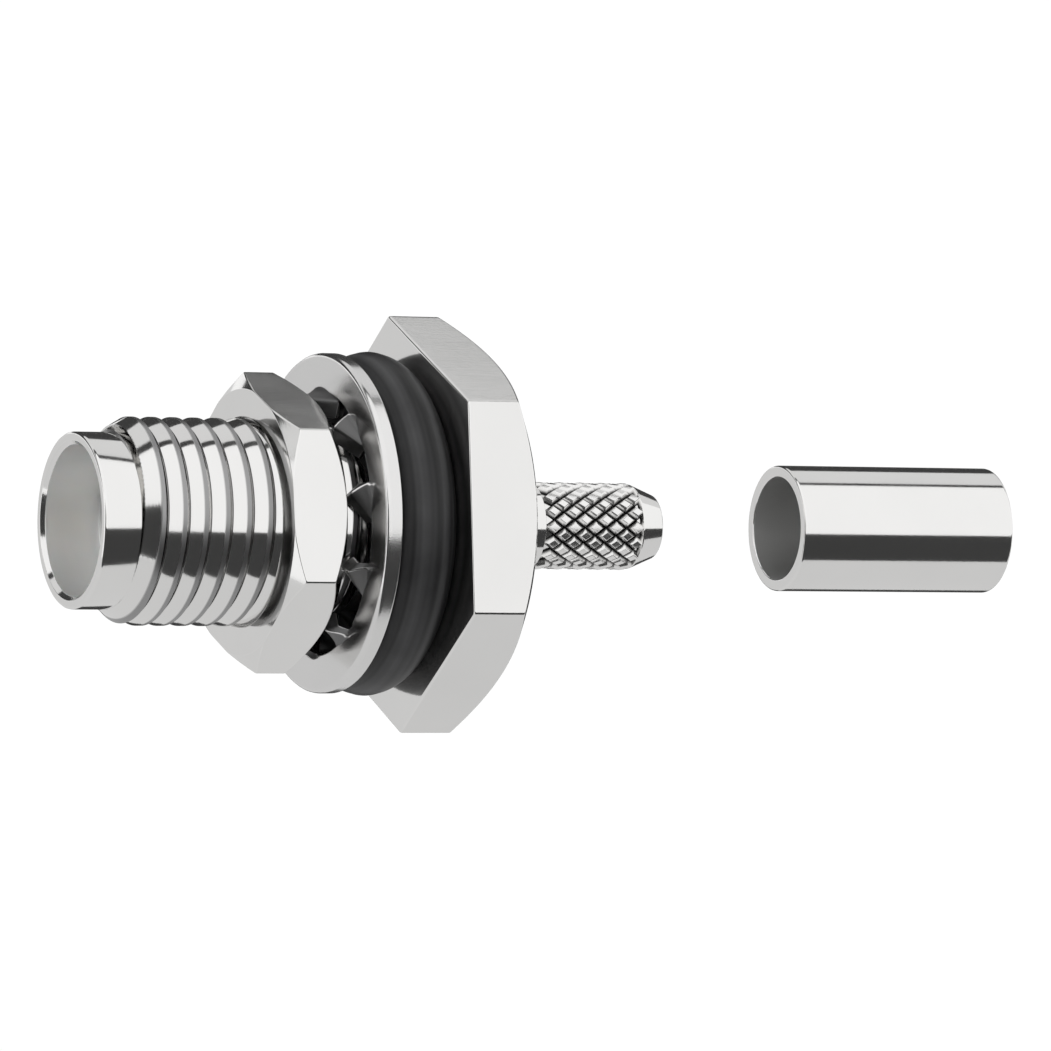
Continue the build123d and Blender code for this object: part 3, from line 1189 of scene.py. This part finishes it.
@dataclass(frozen=True)
class SocketContact:
    """Gold centre contact: four spring fingers, a collar against the bush and a wire barrel.

    Attributes:
        front: Station of the fingers' tips.
        slot_end: Station where the slots between the fingers end.
        socket_floor: Station of the socket's floor.
        seat: Station of the collar's front, which stands on the bush.
        collar_end: Station of the collar's back.
        back: Station of the barrel's end.
        radius: Radius of the contact over its fingers.
        socket_radius: Radius of the socket.
        slot_width: Width of each slot.
        collar_radius: Radius of the collar.
        barrel_radius: Radius of the wire barrel.
        wire_radius: Radius of the wire's bore.
        wire_floor: Station of the floor of the wire's bore.
        pinch: How far the fingers' tips are bent in, as a share of their radius.
    """

    front: float = -8.91
    slot_end: float = -6.41
    socket_floor: float = -6.01
    seat: float = 0.55
    collar_end: float = 1.05
    back: float = 2.65
    radius: float = 0.635
    socket_radius: float = 0.465
    slot_width: float = 0.16
    collar_radius: float = 0.75
    barrel_radius: float = 0.55
    wire_radius: float = 0.28
    wire_floor: float = 1.25
    pinch: float = 0.035

    def finger(self) -> bpy.types.Mesh:
        """One quarter of the slotted socket, bent in a little towards its tip."""
        corners = [
            Corner(self.front, self.socket_radius, 0.05),
            Corner(self.front, self.radius, 0.06),
            Corner(self.slot_end + 0.05, self.radius),
            Corner(self.slot_end + 0.05, self.socket_radius),
        ]
        section = rounded_section(corners, 4)
        dense = []
        for point, after in zip(section, section[1:] + section[:1]):
            dense.append(point)
            if abs(after[0] - point[0]) > 1:
                run = after[0] - point[0]
                dense += [(point[0] + run * part / 6, point[1], 0.0) for part in range(1, 6)]
        columns = 14
        vertices = []
        edge = []
        for column in range(columns + 1):
            for station, radius, rounded in dense:
                gap = math.asin(self.slot_width / 2 / radius)
                angle = gap + (math.pi / 2 - 2 * gap) * column / columns
                share = max(0.0, (self.slot_end - station) / (self.slot_end - self.front))
                bent = radius * (1 - self.pinch * share**2)
                vertices.append((station, bent * math.cos(angle), bent * math.sin(angle)))
                edge.append(rounded)
        count = len(dense)
        faces = []
        for column in range(columns):
            for point in range(count):
                after = (point + 1) % count
                a, b = column * count, (column + 1) * count
                faces.append((a + point, b + point, b + after, a + after))
        faces.append(tuple(range(count)))
        faces.append(tuple(columns * count + point for point in reversed(range(count))))
        return mesh_of("contact_finger", vertices, faces, {"edge": edge})

    def build(self) -> None:
        """Builds and dresses the contact."""
        gold = GOLD_PLATING.material()
        stock = turned(
            "contact_barrel",
            [
                Corner(self.slot_end, self.socket_radius),
                Corner(self.slot_end, self.radius),
                Corner(self.seat, self.radius),
                Corner(self.seat, self.collar_radius, 0.04),
                Corner(self.collar_end, self.collar_radius, 0.04),
                Corner(self.collar_end, self.barrel_radius),
                Corner(self.back, self.barrel_radius, 0.04),
                Corner(self.back, self.wire_radius, 0.03),
                Corner(self.wire_floor, self.wire_radius),
                Corner(self.wire_floor - 0.08, 0.0),
                Corner(self.socket_floor + 0.12, 0.0),
                Corner(self.socket_floor, self.socket_radius),
            ],
            96,
        )
        place("contact_barrel", stock, gold, "connector", "gold_contact", "center_contact")
        fingers = ring_of_copies("contact_fingers", self.finger(), 4, 0.0, gold)
        place("contact_fingers", fingers, gold, "connector", "gold_contact", "center_contact")


@dataclass(frozen=True)
class ContactBush:
    """White turned bush that holds the contact in the body.

    Attributes:
        front: Station of the front face.
        back: Station of the face on the body's shoulder.
        radius: Outer radius.
        bore_radius: Radius of the bore for the contact.
    """

    front: float = -8.91
    back: float = 0.55
    radius: float = 2.05
    bore_radius: float = 0.655

    def build(self) -> None:
        """Builds and dresses the bush."""
        corners = [
            Corner(self.front, self.bore_radius, 0.04),
            Corner(self.front, self.radius, 0.07),
            Corner(self.back, self.radius, 0.07),
            Corner(self.back, self.bore_radius, 0.04),
        ]
        mesh = turned("contact_bush", corners)
        place("contact_bush", mesh, BUSH_PLASTIC.material(), "connector", "insulator", "insulator")


@dataclass(frozen=True)
class SealRing:
    """Round rubber ring with a fine flash line where its mould halves met.

    Attributes:
        cord_radius: Radius of the ring's round section.
        radius: Radius from the axis to the middle of the section.
        middle: Station of the middle of the section.
        flash: Height of the flash line.
        flash_spread: How far the flash line spreads to its sides.
    """

    cord_radius: float = 1.0
    radius: float = 4.3
    middle: float = -1.0
    flash: float = 0.018
    flash_spread: float = 0.012

    def build(self) -> None:
        """Builds and dresses the ring."""
        section = []
        steps = 72
        for step in range(steps):
            angle = -TURN * step / steps
            line = math.exp(-((math.cos(angle) ** 2 / self.flash_spread) ** 2))
            reach = self.cord_radius + self.flash * line
            station = self.middle + reach * math.cos(angle)
            section.append((station, self.radius + reach * math.sin(angle), 0.0))
        mesh = shell("seal_ring", even_angles(240), [section] * 240)
        place("seal_ring", mesh, SEAL_RUBBER.material(), "connector", "seal_rubber", "o_ring")


@dataclass(frozen=True)
class ToothWasher:
    """Spring steel lock washer: a flat ring with twisted inner teeth.

    Attributes:
        front: Station of the ring's face towards the nut.
        back: Station of the ring's face towards the sealing ring.
        radius: Outer radius of the ring.
        bore_radius: Inner radius of the ring, between the teeth.
        tooth_count: How many teeth there are.
        tooth_tip: Radius to the teeth's tips.
        tooth_base: Radius at which the teeth start, inside the ring.
        base_width: Width of a tooth at its base.
        tip_width: Width of a tooth at its tip.
        tooth_thickness: Thickness of a tooth.
        twist: How far a tooth is twisted, in degrees.
        tooth_set: How far a tooth is bent towards the nut.
        tooth_rounding: Rounding of a tooth's edges.
        front_rounding: Rounding of the ring's outer edge towards the nut.
        clock: Angle of the first tooth in degrees.
    """

    front: float = -2.63
    back: float = -2.11
    radius: float = 5.25
    bore_radius: float = 4.05
    tooth_count: int = 10
    tooth_tip: float = 3.325
    tooth_base: float = 4.18
    base_width: float = 1.30
    tip_width: float = 1.10
    tooth_thickness: float = 0.50
    twist: float = 42.0
    tooth_set: float = 0.28
    tooth_rounding: float = 0.07
    front_rounding: float = 0.14
    clock: float = 2.0

    def tooth(self) -> bpy.types.Mesh:
        """One tooth at the angle 0, twisted as it leaves the ring, its flats marked for painted shade.
        """
        middle = (self.front + self.back) / 2
        half = self.tooth_thickness / 2
        rounding = self.tooth_rounding
        levels = 20
        vertices = []
        edge = []
        painted_shade = []
        for level in range(levels + 1):
            share = level / levels
            eased = min(1.0, share / 0.45)
            eased = eased * eased * (3 - 2 * eased)
            radius = self.tooth_base + (self.tooth_tip - self.tooth_base) * share
            width = (self.base_width + (self.tip_width - self.base_width) * share) / 2
            inset = rounding if level in (0, levels) else 0.0
            twist = math.radians(self.twist * (0.25 + 0.75 * eased))
            shift = -self.tooth_set * (0.1 + 0.9 * eased)
            across = Vector((math.sin(twist), 0, math.cos(twist)))
            through = Vector((math.cos(twist), 0, -math.sin(twist)))
            for corner_u, corner_v, start in ((1, 1, 0), (-1, 1, 90), (-1, -1, 180), (1, -1, 270)):
                for step in range(4):
                    turn = math.radians(start + 30 * step)
                    u = corner_u * (width - rounding - inset) + rounding * math.cos(turn)
                    v = corner_v * (half - rounding - inset * 0.6) + rounding * math.sin(turn)
                    point = Vector((middle + shift, radius, 0)) + across * u + through * v
                    vertices.append(point)
                    edge.append(1.0 if step in (1, 2) else 0.3)
                    # Painted shade: the tooth's flats are darkened, its rounded edges and tip much less,
                    # so they stay light as painted highlights.
                    painted_shade.append(0.25 if step in (1, 2) or level == levels else 1.0)
        count = 16
        faces = [tuple(range(count)), tuple(levels * count + point for point in reversed(range(count)))]
        for level in range(levels):
            for point in range(count):
                after = (point + 1) % count
                a, b = level * count, (level + 1) * count
                faces.append((a + point, a + after, b + after, b + point))
        return mesh_of("washer_tooth", vertices, faces, {"edge": edge, "painted_shade": painted_shade})

    def build(self) -> None:
        """Builds and dresses the washer."""
        steel = WASHER_PLATING.material()
        corners = [
            Corner(self.front, self.bore_radius, 0.06),
            Corner(self.front, self.radius, self.front_rounding),
            Corner(self.back, self.radius, 0.06),
            Corner(self.back, self.bore_radius, 0.06),
        ]
        ring = turned("washer_ring", corners)
        place("washer_ring", ring, steel, "washer", "spring_steel", "lock_washer")
        # The teeth take the metal with painted shade on their flats.
        shaded_teeth_metal = TOOTH_PLATING.material()
        teeth = ring_of_copies("washer_teeth", self.tooth(), self.tooth_count, self.clock, shaded_teeth_metal)
        place("washer_teeth", teeth, shaded_teeth_metal, "washer", "spring_steel", "lock_washer")


@dataclass(frozen=True)
class PanelNut:
    """Thin hexagonal nut, chamfered on both faces and threaded to run on the body.

    Attributes:
        front: Station of the face towards the mating end.
        back: Station of the face towards the washer.
        across_flats: Size across the flats.
        front_face_radius: Radius of the front face inside its chamfer.
        front_chamfer: Depth of the front chamfer at the corners.
        back_face_radius: Radius of the rear face inside its chamfer.
        back_chamfer: Depth of the rear chamfer at the corners.
        corner_rounding: Rounding of the six corners.
        clock: Angle of one corner in degrees.
        crest_radius: Radius over the tops of the inner thread.
        root_radius: Radius at the bottom of the inner thread.
        countersink: Depth of the cone at each end of the thread.
        ridge_station: Station where the inner ridge crosses the angle 0.
    """

    front: float = -5.20
    back: float = -3.40
    across_flats: float = 8.11
    front_face_radius: float = 4.10
    front_chamfer: float = 0.33
    back_face_radius: float = 4.02
    back_chamfer: float = 0.52
    corner_rounding: float = 0.12
    clock: float = -1.84
    crest_radius: float = 2.805
    root_radius: float = 3.225
    countersink: float = 0.45
    ridge_station: float = FIRST_GROOVE - 0.25 * THREAD_PITCH

    def section(self, angle: float) -> list[SectionPoint]:
        """Half section of the nut at an angle about the axis."""
        hexagon = hexagon_radius(angle, self.across_flats, self.corner_rounding, self.clock)
        corner = self.across_flats / math.sqrt(3)
        front_face = min(self.front_face_radius, hexagon - 0.02)
        back_face = min(self.back_face_radius, hexagon - 0.02)
        front_share = (hexagon - front_face) / (corner - self.front_face_radius)
        back_share = (hexagon - back_face) / (corner - self.back_face_radius)
        shell_radius = self.root_radius + 0.01
        mouth = self.crest_radius + self.countersink
        run = mouth - shell_radius
        corners = [
            Corner(self.front, mouth, 0.03),
            Corner(self.front, front_face, 0.05),
            Corner(self.front + self.front_chamfer * front_share, hexagon, 0.06),
            Corner(self.back - self.back_chamfer * back_share, hexagon, 0.06),
            Corner(self.back, back_face, 0.05),
            Corner(self.back, mouth, 0.03),
            Corner(self.back - run, shell_radius),
            Corner(self.front + run, shell_radius),
        ]
        return rounded_section(corners)

    def build(self) -> None:
        """Builds and dresses the nut."""
        metal = NUT_PLATING.material()
        angles = hexagon_angles(self.clock)
        body = shell("panel_nut", angles, [self.section(angle) for angle in angles])
        piece = place("panel_nut", body, metal, "nut", "plated_nut", "hex_nut")
        face_metal = BODY_PLATING.material()
        piece.data.materials.append(face_metal)
        on_flats, on_faces = 0, 1
        for face in piece.data.polygons:
            face.material_index = on_faces if abs(face.normal.x) > 0.3 else on_flats
        thread = HelicalThread(
            crest_radius=self.crest_radius,
            root_radius=self.root_radius,
            hidden_radius=self.root_radius + 0.12,
            front=self.front,
            back=self.back,
            lead=self.countersink,
            end_radius=self.crest_radius + self.countersink + 0.01,
            ridge_station=self.ridge_station,
        )
        mesh = thread.mesh("nut_thread", face_metal)
        place("nut_thread", mesh, face_metal, "nut", "plated_nut", "hex_nut")


@dataclass(frozen=True)
class CrimpFerrule:
    """Plain thin tube with its edges broken.

    Attributes:
        front: Station of the end towards the stem.
        back: Station of the end towards the cable.
        radius: Outer radius.
        bore_radius: Inner radius.
    """

    front: float = 13.33
    back: float = 20.78
    radius: float = 1.985
    bore_radius: float = 1.625

    def build(self) -> None:
        """Builds and dresses the ferrule."""
        corners = [
            Corner(self.front, self.bore_radius, 0.05),
            Corner(self.front, self.radius, 0.07),
            Corner(self.back, self.radius, 0.07),
            Corner(self.back, self.bore_radius, 0.05),
        ]
        mesh = turned("crimp_ferrule_tube", corners)
        outside = FERRULE_PLATING.material()
        piece = place("crimp_ferrule_tube", mesh, outside, "ferrule", "plated_ferrule", "crimp_ferrule")
        piece.data.materials.append(TUBE_BORE.material())
        in_bore = 1
        for face in piece.data.polygons:
            middle = face.center / MM
            if math.hypot(middle.y, middle.z) < self.bore_radius + 0.005:
                face.material_index = in_bore


# Studio


@dataclass(frozen=True)
class Viewpoint:
    """Where the picture is taken from.

    Attributes:
        azimuth: Degrees to the side of straight ahead along +Y.
        elevation: Degrees above the level.
        roll: Degrees that the camera is rolled.
        distance: Distance to the target.
        target: The point that the camera looks at.
        focal_share: Focal length as a share of the picture's width.
    """

    azimuth: float = -27.9
    elevation: float = 22.086
    roll: float = 11.9
    distance: float = 272.34
    target: tuple[float, float, float] = (4.522, 0.0, 0.0)
    focal_share: float = 8731.5 / 1051

    def build(self) -> None:
        """Sets the camera."""
        side, height = math.radians(self.azimuth), math.radians(self.elevation)
        back = Vector(
            (math.sin(side) * math.cos(height), -math.cos(side) * math.cos(height), math.sin(height))
        )
        level = Vector((0, 0, 1)).cross(back).normalized()
        upright = back.cross(level)
        roll = math.radians(self.roll)
        right = level * math.cos(roll) + upright * math.sin(roll)
        up = upright * math.cos(roll) - level * math.sin(roll)
        data = bpy.data.cameras.new("camera")
        data.sensor_width = 36.0
        data.lens = 36.0 * self.focal_share
        data.clip_start = 0.01
        camera = bpy.data.objects.new("camera", data)
        turn = Matrix((right, up, back)).transposed().to_4x4()
        spot = Matrix.Translation((Vector(self.target) + back * self.distance) * MM)
        camera.matrix_world = spot @ turn
        bpy.context.scene.collection.objects.link(camera)
        bpy.context.scene.camera = camera
        log.info("camera: lens %.1f mm", data.lens)


@dataclass(frozen=True)
class Card:
    """A flat reflector or flag that is seen in the metal only.

    Attributes:
        name: Name of the card.
        corners: Its corners in order.
        level: How bright it is, where 1 is white.
    """

    name: str
    corners: tuple[tuple[float, float, float], ...]
    level: float

    def build(self) -> bpy.types.Object:
        """Builds the card, which only glossy rays see."""
        mesh = bpy.data.meshes.new(self.name)
        mesh.from_pydata([Vector(c) * MM for c in self.corners], [], [tuple(range(len(self.corners)))])
        material = bpy.data.materials.new(self.name)
        material.use_nodes = True
        sheet = NodeSheet(material.node_tree)
        material.node_tree.nodes.clear()
        glow = sheet.add("ShaderNodeEmission", {"Color": (1, 1, 1, 1), "Strength": self.level})
        sheet.add("ShaderNodeOutputMaterial", {"Surface": glow.outputs[0]})
        material.cycles.emission_sampling = "NONE"
        mesh.materials.append(material)
        card = bpy.data.objects.new(self.name, mesh)
        card.visible_camera = False
        card.visible_diffuse = False
        card.visible_transmission = False
        card.visible_shadow = False
        bpy.context.scene.collection.objects.link(card)
        return card


@dataclass(frozen=True)
class Studio:
    """White surroundings, a pale floor, and the cards that give the metal its light and dark bands.

    Attributes:
        floor_height: Height of the floor.
        floor_reach: Distance from the middle to each side of the floor.
        floor_tone: How light the floor is, where 1 is white.
        floor_glow: How much of its own light the floor shows to the camera.
        dark: How bright the flags are.
        grey: How bright the rear wall is.
        bounce: How bright the bounce card is.
    """

    floor_height: float = -40.0
    floor_reach: float = 1500.0
    floor_tone: float = 0.6
    floor_glow: float = 0.42
    dark: float = 0.05
    grey: float = 0.73
    bounce: float = 0.66

    def floor(self) -> None:
        """Builds the white floor, which keeps the object's shadow."""
        reach, height = self.floor_reach, self.floor_height
        mesh = bpy.data.meshes.new("floor")
        corners = [(x * reach, y * reach, height) for x, y in ((-1, -1), (1, -1), (1, 1), (-1, 1))]
        mesh.from_pydata([Vector(c) * MM for c in corners], [], [(0, 1, 2, 3)])
        material = bpy.data.materials.new("floor")
        material.use_nodes = True
        material.node_tree.nodes.clear()
        sheet = NodeSheet(material.node_tree)
        rays = sheet.add("ShaderNodeLightPath").outputs
        seen = sheet.math("ADD", rays["Is Camera Ray"], rays["Is Glossy Ray"])
        seen = sheet.math("ADD", seen, rays["Is Transmission Ray"], clamp=True)
        tone = (self.floor_tone, self.floor_tone, self.floor_tone, 1)
        matt = sheet.add("ShaderNodeBsdfDiffuse", {"Color": tone})
        strength = sheet.math("MULTIPLY", seen, self.floor_glow)
        glow = sheet.add("ShaderNodeEmission", {"Strength": strength})
        both = sheet.add("ShaderNodeAddShader", {0: matt.outputs[0], 1: glow.outputs[0]})
        sheet.add("ShaderNodeOutputMaterial", {"Surface": both.outputs[0]})
        mesh.materials.append(material)
        floor = bpy.data.objects.new("floor", mesh)
        bpy.context.scene.collection.objects.link(floor)

    def cards(self) -> list[Card]:
        """The reflectors and flags."""
        low = self.floor_height + 0.5
        wide = 2500.0
        return [
            Card(
                "front_flag",
                ((-wide, -600, low), (wide, -600, low), (wide, -600, 160), (-wide, -600, 160)),
                self.dark,
            ),
            Card(
                "front_floor_flag",
                ((-wide, -600, low), (wide, -600, low), (wide, -57, low), (-wide, -57, low)),
                self.dark,
            ),
            Card(
                "bounce_card",
                ((-103, -57, low), (200, -57, low), (200, 250, low), (-103, 250, low)),
                self.bounce,
            ),
            Card(
                "rear_wall",
                ((-2000, 800, low), (2000, 800, low), (2000, 800, 1850), (-2000, 800, 466)),
                self.grey,
            ),
            Card(
                "rear_trim",
                ((-2000, 800, 466), (2000, 800, 1850), (2000, 800, 2250), (-2000, 800, 866)),
                self.dark,
            ),
            Card(
                "rear_strip",
                ((-1500, 700, -39), (1500, 700, -39), (1500, 700, 285), (-1500, 700, 285)),
                self.dark,
            ),
            Card(
                "left_flag",
                ((-800, -600, low), (-800, -80, low), (-800, -80, 330), (-800, -600, 330)),
                self.dark,
            ),
            Card(
                "rear_floor_flag",
                ((4, 25, low + 0.3), (140, 25, low + 0.3), (700, 690, low + 0.3), (120, 690, low + 0.3)),
                self.dark,
            ),
        ]

    def build(self) -> None:
        """Builds the surroundings."""
        scene = bpy.context.scene
        world = bpy.data.worlds.new("surroundings")
        world.use_nodes = True
        world.node_tree.nodes.clear()
        sheet = NodeSheet(world.node_tree)
        light = sheet.add("ShaderNodeBackground", {"Color": (1, 1, 1, 1), "Strength": 1.0})
        sheet.add("ShaderNodeOutputWorld", {"Surface": light.outputs[0]})
        scene.world = world
        scene.view_settings.view_transform = "Standard"
        self.floor()
        for card in self.cards():
            card.build()
        log.info("studio: floor and %d cards", len(self.cards()))


def main() -> None:
    """Builds the object piece by piece, then the studio and the camera."""
    logging.basicConfig(level=logging.INFO, format="%(name)s %(message)s")
    for piece in (
        JackBody(),
        ContactBush(),
        SocketContact(),
        SealRing(),
        ToothWasher(),
        PanelNut(),
        CrimpFerrule(),
    ):
        piece.build()
        log.info("%s is done", type(piece).__name__)
    Studio().build()
    Viewpoint().build()


if __name__ == "__main__":
    main()
